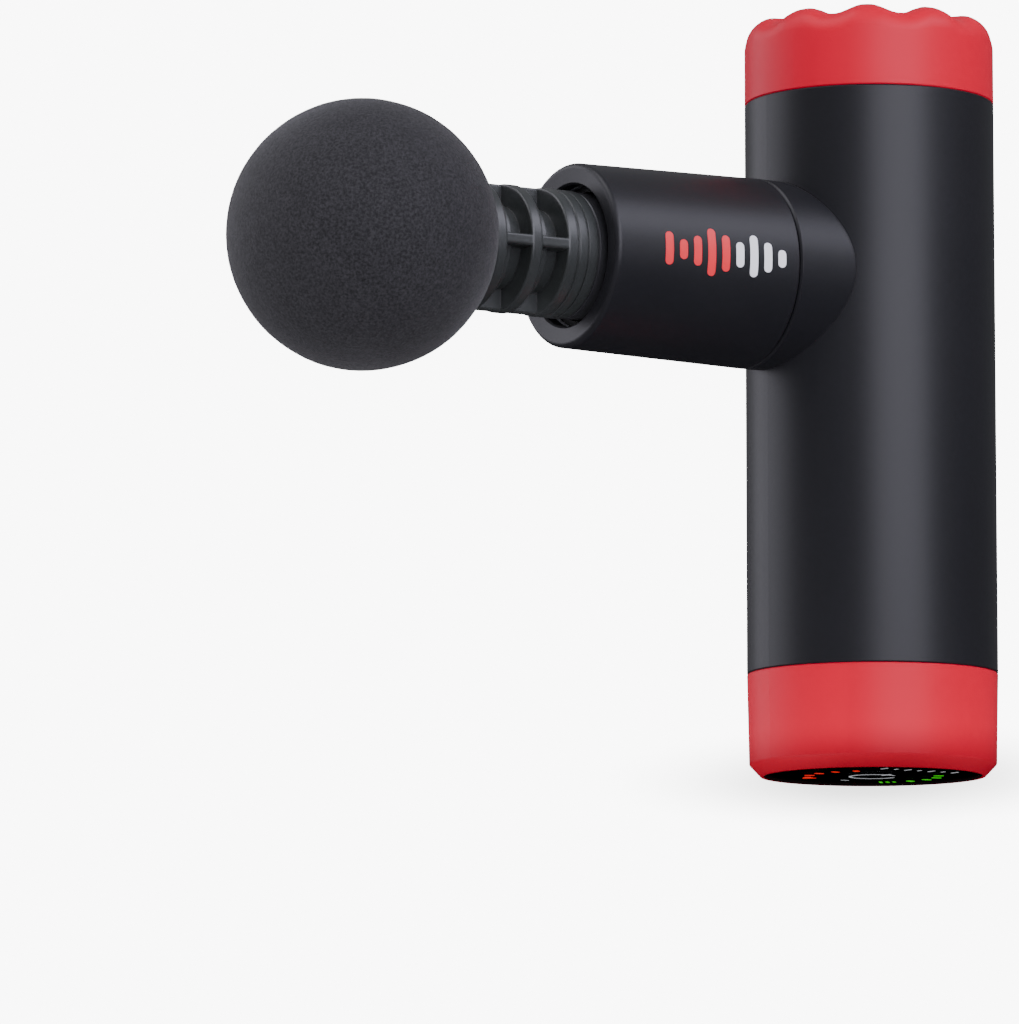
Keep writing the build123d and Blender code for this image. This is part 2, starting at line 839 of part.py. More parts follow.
pin_y = -crank_r
pin_r = 2.0
crank_bearing_r = 5.0
crank_bearing_t = 4.0
crank_bearing_low = barrel_z - crank_bearing_t / 2
counterweight_r = 13.0
wheel_hub_r = 7.0
pin_reach = 1.6
race_t = 0.8
crank_ball_r = 0.66
clip_width = 1.3
clip_t = 0.5
clip_z = crank_bearing_low - clip_t - snug
clip_gap = 1.2

with BuildPart() as crank_wheel:
    with BuildSketch(Plane.XY.offset(wheel_low)):
        Circle(counterweight_r)
        with Locations((0, -counterweight_r)):
            Rectangle(3 * counterweight_r, 2 * counterweight_r, mode=Mode.SUBTRACT)
        Circle(wheel_hub_r)
    extrude(amount=wheel_t)
    with BuildSketch(Plane.XY.offset(shaft_low)):
        Circle(shaft_r + press)
    extrude(amount=wheel_t, mode=Mode.SUBTRACT)
    with BuildSketch(Plane.XY.offset(pin_high)):
        with Locations((0, pin_y)):
            Circle(pin_r + press)
    extrude(amount=-wheel_t, mode=Mode.SUBTRACT)
save(crank_wheel, "crank_wheel")

with BuildPart() as crank_pin:
    with BuildSketch(Plane.XY.offset(crank_bearing_low - pin_reach)):
        with Locations((0, pin_y)):
            Circle(pin_r)
    extrude(amount=pin_high - crank_bearing_low + pin_reach)
    with BuildSketch(Plane.XY.offset(crank_bearing_low + crank_bearing_t)):
        with Locations((0, pin_y)):
            Circle(pin_r + race_t)
    extrude(amount=wheel_low - crank_bearing_low - crank_bearing_t)
save(crank_pin, "crank_pin")

with BuildPart() as crank_bearing_races:
    with BuildSketch(Plane.XY.offset(crank_bearing_low)):
        with Locations((0, pin_y)):
            ring(crank_bearing_r, crank_bearing_r - race_t)
            with BuildSketch(mode=Mode.ADD):
                with Locations((0, pin_y)):
                    ring(pin_r + race_t, pin_r + press)
    extrude(amount=crank_bearing_t)
save(crank_bearing_races, "crank_bearing_races")

with BuildPart() as crank_bearing_balls:
    with Locations((0, pin_y, barrel_z)):
        with PolarLocations((crank_bearing_r + pin_r) / 2, balls_per_bearing):
            Sphere(crank_ball_r)
save(crank_bearing_balls, "crank_bearing_balls")

with BuildPart() as pin_clip:
    with BuildSketch(Plane.XY.offset(clip_z)):
        with Locations((0, pin_y)):
            ring(pin_r + clip_width, pin_r + press)
            Rectangle(
                4 * pin_r, clip_gap, align=(Align.MIN, Align.CENTER), mode=Mode.SUBTRACT
            )
    extrude(amount=clip_t)
save(pin_clip, "pin_clip")

# ---------------------------------------------------------------- yoke and piston

slot_half_x = crank_bearing_r + 1.0
slot_half_y = crank_r + crank_bearing_r + 0.6
yoke_half_x = 9.0
yoke_half_y = 12.0
yoke_t = 6.0
piston_back = 19.0
piston_front = flange_x - snug
yoke_bolt_r = 2.0
yoke_neck_width = 12.0
yoke_corner = 3.0
bolt_start = 11.0
bolt_head_r = 3.6
bolt_head_t = 2.6
bolt_key_r = 1.7
with BuildPart() as yoke:
    with BuildSketch(Plane.XY.offset(barrel_z - yoke_t / 2)):
        RectangleRounded(2 * yoke_half_x, 2 * yoke_half_y, yoke_corner)
        with Locations((piston_back / 2, 0)):
            Rectangle(piston_back, yoke_neck_width)
        Rectangle(2 * slot_half_x, 2 * slot_half_y, mode=Mode.SUBTRACT)
    extrude(amount=yoke_t)
    with BuildSketch(barrel.offset(bolt_start)):
        Circle(yoke_bolt_r + press)
    extrude(amount=piston_back - bolt_start, mode=Mode.SUBTRACT)
save(yoke, "yoke")

socket_depth = 23.5
socket_bottom = flange_x - socket_depth
inner_hollow_r = 6.0
back_wall = 3.5
with BuildPart() as piston:
    with BuildSketch(barrel_profile):
        band(piston_back, piston_back + back_wall, yoke_bolt_r + snug, piston_r)
        band(piston_back + back_wall, socket_bottom, inner_hollow_r, piston_r)
        band(socket_bottom, piston_front, shank_r + slip, piston_r)
    revolve(axis=barrel_axis)
    chamfer(piston.edges().group_by(Axis.X)[-1], edge_break)
save(piston, "piston")

with BuildPart() as piston_screw:
    with BuildSketch(barrel.offset(bolt_start + edge_break)):
        Circle(yoke_bolt_r)
    extrude(amount=piston_back + back_wall - bolt_start - edge_break)
    with BuildSketch(barrel.offset(piston_back + back_wall)):
        Circle(bolt_head_r)
        RegularPolygon(bolt_key_r, 6, mode=Mode.SUBTRACT)
    extrude(amount=bolt_head_t)
save(piston_screw, "piston_screw")

# ---------------------------------------------------------------- massage head

shank_end = socket_bottom + 0.5
core_r = 7.6
step_r = 9.1
stem_bore_r = 5.0
ball_seat_x = 88.1
anchor_r = 6.5
anchor_disc_r = 11.0
anchor_end = 109.0
oring_x = flange_x - 17.0
oring_w = 1.0
oring_depth = 0.7
bays = ((73.5, 78.8), (81.1, 86.2))
rib_t = 2.0
rib_drop = 0.1
rib_round = 0.45
rib_seat = 0.2
bay_round = 0.4
step_shift = 0.3
disc_t = 3.0
anchor_discs = (98.0, anchor_end - disc_t)
parting_x = 71.1
parting_w = 0.2
parting_depth = 0.25
score_x = 69.1
score_depth = 0.2
collar_groove_x = flange_x - 8.6
bore_end = 92.0
shank_round = 1.6
flange_break = 0.18
flange_edges = (flange_x, parting_x, parting_x + parting_w)
with BuildPart() as head_stem:
    with BuildSketch(barrel_profile):
        band(shank_end, flange_x, 0, shank_r)
        band(flange_x, parting_x, 0, stem_r)
        band(parting_x, parting_x + parting_w, 0, stem_r - parting_depth)
        band(parting_x + parting_w, ball_seat_x, 0, stem_r)
        band(ball_seat_x, anchor_end, 0, anchor_r)
        for start in anchor_discs:
            band(start, start + disc_t, 0, anchor_disc_r)
    revolve(axis=barrel_axis)
    for bay_start, bay_end in bays:
        bay_middle = (bay_start + bay_end) / 2 + step_shift
        with BuildSketch(barrel_profile):
            band(bay_start, bay_middle, core_r, stem_r + 1)
            band(bay_middle, bay_end, step_r, stem_r + 1)
        revolve(axis=barrel_axis, mode=Mode.SUBTRACT)
        bay_rims = head_stem.edges(Select.LAST).filter_by(GeomType.CIRCLE).filter_by(
            lambda e: e.radius > stem_r - slip
        )
        fillet(bay_rims, bay_round)
        with BuildSketch(barrel.offset(bay_start - rib_seat)):
            RectangleRounded(2 * (stem_r - rib_drop), rib_t, rib_round)
            RectangleRounded(rib_t, 2 * (stem_r - rib_drop), rib_round)
        extrude(amount=bay_end - bay_start + 2 * rib_seat)
    with BuildSketch(barrel_profile):
        band(score_x, score_x + parting_w, stem_r - score_depth, stem_r + 1)
        band(collar_groove_x, collar_groove_x + edge_break, shank_r - edge_break, shank_r + 1)
        band(oring_x - oring_w / 2, oring_x + oring_w / 2, shank_r - oring_depth, shank_r + 1)
        band(shank_end - 1, bore_end, 0, stem_bore_r)
    revolve(axis=barrel_axis, mode=Mode.SUBTRACT)
    shank_rim = head_stem.edges().filter_by(GeomType.CIRCLE).filter_by(
        lambda e: e.center().X < shank_end + slip and e.radius > shank_r - slip
    )
    fillet(shank_rim, shank_round)
    flange_rims = head_stem.edges().filter_by(GeomType.CIRCLE).filter_by(
        lambda e: e.radius > stem_r - slip
        and min(abs(e.center().X - x) for x in flange_edges) < slip
    )
    chamfer(flange_rims, flange_break)
save(head_stem, "head_stem")

with BuildPart() as shank_oring:
    with BuildSketch(barrel_profile):
        band(
            oring_x - oring_w / 2 + press,
            oring_x + oring_w / 2 - press,
            shank_r - oring_depth + press,
            shank_r + press,
        )
    revolve(axis=barrel_axis)
save(shank_oring, "shank_oring")

with BuildPart() as foam_ball:
    with Locations((ball_x, 0, barrel_z)):
        Sphere(ball_r)
    with BuildSketch(barrel_profile):
        band(ball_x - ball_r - 1, ball_seat_x + slip, 0, stem_r + slip)
        band(ball_seat_x, anchor_end + slip, 0, anchor_r + slip)
        for start in anchor_discs:
            band(start - slip, start + disc_t + slip, 0, anchor_disc_r + slip)
    revolve(axis=barrel_axis, mode=Mode.SUBTRACT)
save(foam_ball, "foam_ball")

# ---------------------------------------------------------------- wiring

wire_r = 0.6
wire_wall_x = -19.4
wire_start = (-11.0, plate_top + 1.7)
wire_pitch = 1.8
wire_turn_z = 77.0
wire_rest_z = 71.0
wire_x = board_face - 2.6
wire_bends = (1.5, 3.0, 3.0)
with BuildPart() as motor_leads:
    for wire_y in (-wire_pitch, 0, wire_pitch):
        with BuildLine(Plane.XZ.offset(-wire_y)) as lead_path:
            FilletPolyline(
                wire_start,
                (wire_wall_x, wire_start[1]),
                (wire_wall_x, wire_turn_z),
                (wire_x, wire_rest_z),
                (wire_x, motor_socket_z + socket_size / 2 + slip),
                radius=wire_bends,
            )
        with BuildSketch(Plane(lead_path.line @ 0, z_dir=lead_path.line % 0)):
            Circle(wire_r)
        sweep(path=lead_path.line)
save(motor_leads, "motor_leads")

lead_start_x = -4.6
lead_x = board_face - 1.2
lead_bend = 2.0
with BuildPart() as battery_leads:
    for side in (-1, 1):
        with BuildLine(Plane.XZ.offset(-side * cell_y)) as supply_path:
            FilletPolyline(
                (lead_start_x, lead_z),
                (lead_x, lead_z),
                (lead_x, battery_socket_z + socket_size / 2 + slip),
                radius=lead_bend,
            )
        with BuildSketch(Plane(supply_path.line @ 0, z_dir=supply_path.line % 0)):
            Circle(lead_r)
        sweep(path=supply_path.line)
save(battery_leads, "battery_leads")

ribbon_t = 0.3
ribbon_width = 7.0
ribbon_knee_z = 19.0
ribbon_rest_z = 23.0
ribbon_end_x = board_face - ribbon_socket_t / 2
ribbon_bend = 2.5
with BuildPart() as display_ribbon:
    with BuildLine(Plane.XZ.offset(-ribbon_y)) as ribbon_path:
        FilletPolyline(
            (ribbon_x, board_z + board_t + slip),
            (ribbon_x, ribbon_knee_z),
            (ribbon_end_x, ribbon_rest_z),
            (ribbon_end_x, ribbon_socket_z - ribbon_socket_height / 2 - slip),
            radius=ribbon_bend,
        )
    with BuildSketch(Plane.XY.offset(board_z + board_t + slip)):
        with Locations((ribbon_x, ribbon_y)):
            Rectangle(ribbon_t, ribbon_width)
    sweep(path=ribbon_path.line)
save(display_ribbon, "display_ribbon")
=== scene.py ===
# %% [markdown]
# # A mini massage gun, piece by piece
# The CAD model already holds every rigid part at its real size. This notebook dresses it:
# it gives each part the surface that its real material has, models the soft foam head,
# the lit symbols of the display and the print on the barrel, and sets up a small studio.
# Everything is in metres, in the CAD model's own frame: +Z up the handle, +X out of the
# barrel.

# %% Load the CAD frame
import json
import math
import bpy
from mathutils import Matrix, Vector


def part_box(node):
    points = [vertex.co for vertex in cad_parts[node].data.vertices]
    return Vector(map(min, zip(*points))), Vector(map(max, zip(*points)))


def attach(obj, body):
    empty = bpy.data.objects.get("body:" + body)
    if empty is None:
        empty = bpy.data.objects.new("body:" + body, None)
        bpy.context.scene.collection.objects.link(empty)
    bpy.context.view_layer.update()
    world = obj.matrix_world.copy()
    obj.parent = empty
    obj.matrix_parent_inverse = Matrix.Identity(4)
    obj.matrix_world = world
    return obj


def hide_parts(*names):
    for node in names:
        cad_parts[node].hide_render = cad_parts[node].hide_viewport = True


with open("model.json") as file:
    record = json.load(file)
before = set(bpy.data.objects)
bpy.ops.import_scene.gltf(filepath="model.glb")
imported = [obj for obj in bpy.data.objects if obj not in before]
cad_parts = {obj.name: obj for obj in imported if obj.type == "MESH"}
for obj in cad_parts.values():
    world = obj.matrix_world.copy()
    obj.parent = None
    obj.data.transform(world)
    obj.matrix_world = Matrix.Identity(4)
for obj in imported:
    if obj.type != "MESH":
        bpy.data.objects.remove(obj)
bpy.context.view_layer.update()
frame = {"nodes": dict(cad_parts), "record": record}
nodes = frame["nodes"]
MM = 0.001

# %% [markdown]
# ## Where things are
# Places come from the CAD nodes' own boxes, so nothing is typed twice. The ball gives its
# own middle, the barrel's sleeve gives the axis and the side that carries the print, and
# the glass gives the face that the lit symbols stand on.

# %% Read the places from the frame
ball_low, ball_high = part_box("foam_ball")
sleeve_low, sleeve_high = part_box("barrel_sleeve")
glass_low, glass_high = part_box("display_glass")
barrel_z = (sleeve_low.z + sleeve_high.z) / 2
ball_radius = (ball_high.z - ball_low.z) / 2
ball_centre = Vector((ball_high.x - ball_radius, 0, barrel_z))
print("ball radius", round(ball_radius / MM, 2), "barrel axis at z", round(barrel_z / MM, 2))

# %% [markdown]
# ## Helpers for modelling
# Operators act on whatever is selected, so each piece starts from a clean selection. A
# finished piece keeps its place in its mesh, with the object itself at the origin, so that
# a pattern laid on its coordinates never slides.


# %% Helpers for modelling
def start_clean():
    """Nothing selected, object mode."""
    if bpy.context.mode != "OBJECT":
        bpy.ops.object.mode_set(mode="OBJECT")
    bpy.ops.object.select_all(action="DESELECT")


def settle(piece, name, body, angle=35):
    """Names a piece, bakes its place into its mesh, smooths it and lets it ride."""
    start_clean()
    piece.name = name
    piece.data.name = name
    piece.select_set(True)
    bpy.context.view_layer.objects.active = piece
    bpy.ops.object.transform_apply(location=True, rotation=True, scale=True)
    bpy.ops.object.shade_smooth_by_angle(angle=math.radians(angle))
    start_clean()
    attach(piece, body)
    print(name, len(piece.data.polygons), "faces")


def dress(piece, material):
    """Gives a piece one material in all its slots."""
    if not piece.material_slots:
        piece.data.materials.append(material)
    for holder in piece.material_slots:
        holder.material = material


# %% [markdown]
# ## Colours and nodes
# Colours are picked as sRGB hex values, as on screen, and turned to linear light here.
# A material is a small graph, so one function adds a node, sets it and links it. Patterns
# are given by a real size in millimetres, and a texture node wants cells per metre.


# %% Helpers for materials
def colour(hex_value):
    """Linear RGBA from an sRGB hex string such as 'e0202c'."""
    channels = [int(hex_value[i:i + 2], 16) / 255 for i in (0, 2, 4)]
    linear = [c / 12.92 if c <= 0.04045 else ((c + 0.055) / 1.055) ** 2.4 for c in channels]
    return (*linear, 1.0)


def add(tree, kind, settings=None, **inputs):
    """Adds a node. Inputs are values or output sockets, keyed by name or by _index."""
    node = tree.nodes.new(kind)
    for key, value in (settings or {}).items():
        setattr(node, key, value)
    for key, value in inputs.items():
        socket = node.inputs[int(key[1:])] if key[0] == "_" else node.inputs[key.replace("_", " ")]
        if isinstance(value, bpy.types.NodeSocket):
            tree.links.new(value, socket)
        else:
            socket.default_value = value
    return node


def new_material(name):
    """An empty node material and its tree."""
    material = bpy.data.materials.new(name)
    material.use_nodes = True
    material.node_tree.nodes.clear()
    return material, material.node_tree


def set_constants(shader, values):
    """Sets the sockets of a shader that stay constant, such as coat and sheen."""
    for socket, value in values.items():
        shader.inputs[socket].default_value = value


def per_metre(size_mm):
    """Texture scale that makes one cell of a pattern this many millimetres wide."""
    return 1 / (size_mm * MM)


# %% [markdown]
# ## The everyday surface
# Most moulded, cast or coated parts share one recipe: a base colour that drifts a little
# over the part, a fine grain that lifts the surface by hundredths of a millimetre, and a
# roughness that follows a second, broader pattern, as handling and mould polish leave it.
# A Bevel node rounds the normals at sharp edges, so that each edge catches a thin line of
# light as a real edge does.


# %% Grained surface recipe
def grained(name, base, tint, roughness, grain_mm, lift_mm, metallic=0.0, stretch=(1, 1, 1),
            patch_mm=14.0, wander=0.06, edge_mm=0.15, fixed=None):
    """A surface with colour drift, roughness drift and a fine grain in the normal."""
    material, tree = new_material(name)
    place = add(tree, "ShaderNodeTexCoord")
    laid = add(tree, "ShaderNodeMapping", Vector=place.outputs["Object"], Scale=stretch)
    patches = add(tree, "ShaderNodeTexNoise", Vector=place.outputs["Object"],
                  Scale=per_metre(patch_mm), Detail=3.0)
    grain = add(tree, "ShaderNodeTexNoise", Vector=laid.outputs["Vector"],
                Scale=per_metre(grain_mm), Detail=4.0, Roughness=0.6)
    drift = add(tree, "ShaderNodeMix", {"data_type": "RGBA"}, _0=patches.outputs["Fac"],
                _6=colour(base), _7=colour(tint))
    rough = add(tree, "ShaderNodeMapRange", Value=patches.outputs["Fac"],
                To_Min=roughness - wander, To_Max=roughness + wander)
    edge = add(tree, "ShaderNodeBevel", {"samples": 4}, Radius=edge_mm * MM)
    bump = add(tree, "ShaderNodeBump", Height=grain.outputs["Fac"], Distance=lift_mm * MM,
               Strength=1.0, Normal=edge.outputs["Normal"])
    shader = add(tree, "ShaderNodeBsdfPrincipled", Base_Color=drift.outputs[2],
                 Metallic=metallic, Roughness=rough.outputs["Result"],
                 Normal=bump.outputs["Normal"])
    set_constants(shader, fixed or {})
    add(tree, "ShaderNodeOutputMaterial", Surface=shader.outputs["BSDF"])
    print(name, "grain", grain_mm, "mm, roughness", roughness)
    return material


# %% [markdown]
# ## The outer shells
# The handle is an aluminium tube and the barrel a plastic sleeve, and both are made to
# match as one satin black. The two caps at the ends of the handle are red. The real grain
# of blasting or of a soft-touch coat is about 0.05 mm, too fine to show, so all three are
# drawn some five times coarser. Coated surfaces reflect less than bare plastic, so the
# specular level is below its usual half.

# %% Materials of the outer shells
# Bead-blasted and dyed in the anodising bath: the metal barely shows, and the eye gets a
# deep satin black with one broad grey sheen down the tube.
anodised_black = grained(
    "anodised_aluminium_black", "111114", "161619", 0.4, 0.35, 0.006, patch_mm=30,
    wander=0.03, fixed={"Specular IOR Level": 0.32})
# Sprayed with a rubbery lacquer: a slightly blacker, softer sheen without any sparkle.
soft_touch_black = grained(
    "soft_touch_black", "131316", "18181b", 0.42, 0.3, 0.008, patch_mm=22, wander=0.03,
    fixed={"Specular IOR Level": 0.32})
# Moulded in red and sprayed with the same lacquer: a saturated red that goes pink only
# where a lamp glances off it.
soft_touch_red = grained(
    "soft_touch_red", "ca002a", "c20026", 0.42, 0.28, 0.01, patch_mm=18, wander=0.03,
    fixed={"Specular IOR Level": 0.19})

# %% [markdown]
# ## Plastics and rubber
# Moulded parts copy the spark-eroded texture of their mould, 0.1 to 0.2 mm in truth and
# drawn two or three times coarser. What sets them apart is how glossy they are and how
# strongly the texture stands out.

# %% Materials of the plastic and rubber parts
# Glass-filled nylon, moulded and left raw: fibres at the skin give a dry grey-black with
# pale edges.
filled_nylon = grained(
    "glass_filled_nylon", "242625", "2d302f", 0.36, 0.5, 0.02, patch_mm=8, wander=0.05,
    edge_mm=0.35)
# Moulded rubber: the dullest black on the gun.
moulded_rubber = grained(
    "moulded_rubber", "161617", "1d1d1e", 0.72, 0.25, 0.015, patch_mm=6)
# Moulded ABS of the hidden frames: an even, workaday black.
moulded_abs = grained(
    "moulded_abs_black", "1b1b1d", "232325", 0.48, 0.6, 0.012, patch_mm=12)
# Moulded polycarbonate of the light baffle: a milky white that spreads the lamps' light.
white_pc = grained(
    "white_polycarbonate", "d9d9d4", "cfcfca", 0.4, 0.5, 0.006, patch_mm=10)
# Transfer-moulded epoxy of the chips: a slate black, matte as fine sandpaper.
epoxy_black = grained(
    "moulded_epoxy", "121213", "1a1a1b", 0.55, 0.15, 0.006, patch_mm=4)

# %% [markdown]
# ## Metals inside
# Metals keep their default IOR, and differ in colour, in roughness and in the marks of the
# tool that made them. Stretching the grain along one axis turns pebbles into such marks.
# Turning and grinding leave marks of 0.02 to 0.1 mm, and they are drawn at 0.2 mm or more.

# %% Materials of the cast and machined metals
# Die-cast aluminium: pale, pebbly and a little cloudy.
cast_aluminium = grained(
    "cast_aluminium", "a9abad", "9b9da0", 0.46, 0.5, 0.03, metallic=1.0, patch_mm=9)
# Turned and hard-anodised: the thick oxide hides most of the metal under a charcoal skin,
# so it is less than half metallic.
hard_anodised = grained(
    "hard_anodised_aluminium", "2c2c2e", "363638", 0.42, 0.4, 0.005, metallic=0.4,
    stretch=(0.1, 1, 1), patch_mm=12)
# Steel from the lathe: fine rings round the part draw the highlight out.
turned_steel = grained(
    "turned_steel", "8d8e91", "818285", 0.3, 0.25, 0.004, metallic=1.0, stretch=(1, 1, 6),
    patch_mm=6)
# Ground and lapped bearing steel: almost a mirror.
ground_steel = grained(
    "ground_bearing_steel", "c2c3c6", "b6b7ba", 0.14, 0.2, 0.001, metallic=1.0, patch_mm=5)
# Sintered bronze, pressed from powder and soaked in oil: brown, dull and porous.
sintered_bronze = grained(
    "sintered_bronze", "a9743d", "93622f", 0.52, 0.22, 0.02, metallic=1.0, patch_mm=3)

# %% Materials of the plated metals
# Barrel-plated zinc on screws: silvery, with a hint of yellow in patches.
zinc_plate = grained(
    "zinc_plated_steel", "9fa1a3", "b0aea4", 0.32, 0.2, 0.003, metallic=1.0, patch_mm=2)
# Nickel plate on strips and sockets: a warm, clean shine.
nickel_plate = grained(
    "nickel_plate", "b9b6ac", "aeaba2", 0.24, 0.3, 0.002, metallic=1.0, patch_mm=4)
# Nickel over sintered magnet: the same shine, greyed by the dark core under it.
magnet_plate = grained(
    "magnet_nickel", "77787a", "6c6d6f", 0.3, 0.3, 0.003, metallic=1.0, patch_mm=5)

# %% [markdown]
# ## Layered and wound parts
# A stator is a stack of thin steel sheets, and its coils are lacquered copper wire. Both
# are bands: the sheets lie across the motor's axis and the turns go round each tooth, so a
# wave texture along the axis draws them and lifts them. Each light and each dark band is
# one sheet or one wire wide, which makes the pattern twice as coarse as the real one, so
# that it shows. A wave node of scale one has ten waves in pi units, hence the factor.


# %% Banded surface recipe
def banded(name, base, dark_joint_and_shade, band_mm, roughness, lift_mm):
    """A metal with light and dark bands along Z, each of a given width."""
    material, tree = new_material(name)
    place = add(tree, "ShaderNodeTexCoord")
    bands = add(tree, "ShaderNodeTexWave", {"bands_direction": "Z"},
                Vector=place.outputs["Object"], Scale=per_metre(band_mm) / 20 * math.pi,
                Distortion=0.4, Detail=2.0)
    # The dark colour fills the low bands: a dark joint between steel sheets, and painted shade in
    # the grooves between wire turns.
    tone = add(tree, "ShaderNodeMix", {"data_type": "RGBA"}, _0=bands.outputs["Fac"],
               _6=colour(dark_joint_and_shade), _7=colour(base))
    bump = add(tree, "ShaderNodeBump", Height=bands.outputs["Fac"], Distance=lift_mm * MM)
    shader = add(tree, "ShaderNodeBsdfPrincipled", Base_Color=tone.outputs[2], Metallic=1.0,
                 Roughness=roughness, Normal=bump.outputs["Normal"])
    add(tree, "ShaderNodeOutputMaterial", Surface=shader.outputs["BSDF"])
    print(name, "bands", band_mm, "mm wide")
    return material


# %% Materials of the motor's stator
# Punched silicon steel, 0.35 mm a sheet: dark lines between grey edges.
sheet_stack = banded("electrical_steel_stack", "6a6c70", "3c3d40", 0.35, 0.4, 0.02)
# Enamelled wire, 0.4 mm thick: glossy copper turns, and the brown grooves between them are painted
# shade.
lacquered_copper = banded("lacquered_copper_wire", "b8622c", "6e3415", 0.4, 0.3, 0.1)

# %% [markdown]
# ## Electronics
# Boards, cells and wires are small and inside, so the right colour, gloss and a grain of
# about the right size are enough. Lacquer and film lie on top of what they cover, so they
# get a clear coat.

# %% Materials of the electronics
# Screen-printed solder mask: a wet-looking green that is darker between the tracks.
solder_mask = grained(
    "solder_mask_green", "12472a", "0d3a22", 0.3, 0.8, 0.01, patch_mm=3,
    fixed={"Coat Weight": 0.4, "Coat Roughness": 0.15})
# Heat-shrunk film on the cells: a taut blue gloss with slow ripples.
shrink_film = grained(
    "shrink_film_blue", "1c4f96", "17458a", 0.26, 1.2, 0.01, patch_mm=20,
    fixed={"Coat Weight": 0.3, "Coat Roughness": 0.1})
# Extruded wire sheaths: smooth, soft and even.
sheath_red = grained("wire_sheath_red", "b3161a", "a31216", 0.4, 0.4, 0.006, patch_mm=6)
sheath_black = grained("wire_sheath_black", "151516", "1c1c1d", 0.42, 0.4, 0.006, patch_mm=6)
# Polyimide ribbon: a glossy amber film.
amber_film = grained("polyimide_film", "b96a1c", "a95d15", 0.25, 0.8, 0.004, patch_mm=5)


# %% [markdown]
# ## Lamps and lit windows
# A lit window is a tinted lens in front of a lamp: it glows in its own colour, a little
# unevenly, and still has the gloss of the glass it sits in.


# %% Lit window recipe
def lit(name, glow, strength):
    """A glowing tinted lens with a soft unevenness."""
    material, tree = new_material(name)
    place = add(tree, "ShaderNodeTexCoord")
    haze = add(tree, "ShaderNodeTexNoise", Vector=place.outputs["Object"],
               Scale=per_metre(0.8))
    level = add(tree, "ShaderNodeMapRange", Value=haze.outputs["Fac"],
                To_Min=strength * 0.75, To_Max=strength * 1.15)
    shader = add(tree, "ShaderNodeBsdfPrincipled", Base_Color=colour(glow), Roughness=0.25,
                 Emission_Color=colour(glow), Emission_Strength=level.outputs["Result"])
    add(tree, "ShaderNodeOutputMaterial", Surface=shader.outputs["BSDF"])
    print(name, "glows at", strength)
    return material


# %% Materials of the lamps
# Red and green stand out against the black glass, and white is kept dimmer than both.
lamp_red = lit("lit_window_red", "ff2618", 2.2)
lamp_green = lit("lit_window_green", "35e01e", 2.0)
lamp_white = lit("lit_window_white", "dfe2e6", 0.9)

# %% [markdown]
# ## The display glass
# The window is hard-coated black acrylic, almost a mirror. A faint ripple from moulding and
# a trace of wiping marks in the roughness keep it from looking like a hole.

# %% Material of the display glass
wipe_mm = 9.0
ripple_mm = 0.003
display_acrylic, tree = new_material("black_acrylic_glass")
place = add(tree, "ShaderNodeTexCoord")
wipes = add(tree, "ShaderNodeTexNoise", Vector=place.outputs["Object"],
            Scale=per_metre(wipe_mm), Detail=5.0, Distortion=1.5)
gloss = add(tree, "ShaderNodeMapRange", Value=wipes.outputs["Fac"], To_Min=0.04, To_Max=0.12)
ripple = add(tree, "ShaderNodeBump", Height=wipes.outputs["Fac"], Distance=ripple_mm * MM)
shader = add(tree, "ShaderNodeBsdfPrincipled", Base_Color=colour("060608"),
             Roughness=gloss.outputs["Result"], Normal=ripple.outputs["Normal"])
set_constants(shader, {"Coat Weight": 0.6, "Coat Roughness": 0.03})
add(tree, "ShaderNodeOutputMaterial", Surface=shader.outputs["BSDF"])
print(display_acrylic.name, "wiping marks", wipe_mm, "mm")

# %% [markdown]
# ## Dress the CAD nodes
# Each slot of the record names a finish. This table gives every finish its material, and
# every CAD node takes the one of its slot. The motor's bell shares the stator's slot, but
# it is a turned cup and not a stack of sheets, so it is dressed on its own.

# %% Assign the materials
finish_of = {
    "sleeve_black": anodised_black, "cap_red": soft_touch_red, "barrel_black": soft_touch_black,
    "display_black": display_acrylic, "white_plastic": white_pc, "board_green": solder_mask,
    "led_red": lamp_red, "led_green": lamp_green, "led_white": lamp_white,
    "plated_steel": nickel_plate, "cell_wrap": shrink_film, "black_plastic": moulded_abs,
    "chip_black": epoxy_black, "frame_metal": cast_aluminium, "screw_steel": zinc_plate,
    "bush_bronze": sintered_bronze, "rubber_black": moulded_rubber,
    "bearing_steel": ground_steel, "core_steel": sheet_stack,
    "winding_copper": lacquered_copper, "magnet_grey": magnet_plate,
    "crank_steel": turned_steel, "yoke_steel": turned_steel, "piston_metal": hard_anodised,
    "stem_black": filled_nylon, "foam_charcoal": moulded_rubber, "wire_red": sheath_red,
    "wire_black": sheath_black, "ribbon_orange": amber_film,
}
for part in frame["record"]["subparts"]:
    dress(nodes[part["node"]], finish_of[part["material_slot"]])
dress(nodes["motor_bell"], hard_anodised)
print("dressed", len(nodes), "nodes")

# %% [markdown]
# ## The foam ball
# The head is a ball of closed-cell foam, moulded round the stem: dense, matte and finely
# pitted. A plain sphere would look like rubber, so the surface is displaced by two noises.
# A broad one makes it slightly uneven, and a fine one, drawn a few times coarser than the
# foam's cells, gives it its skin. An icosphere is used because its faces are even all
# over, so the grain has no poles. The ball is cut flat where the stem enters, and the cut
# is sunk a little, as a mould leaves it.

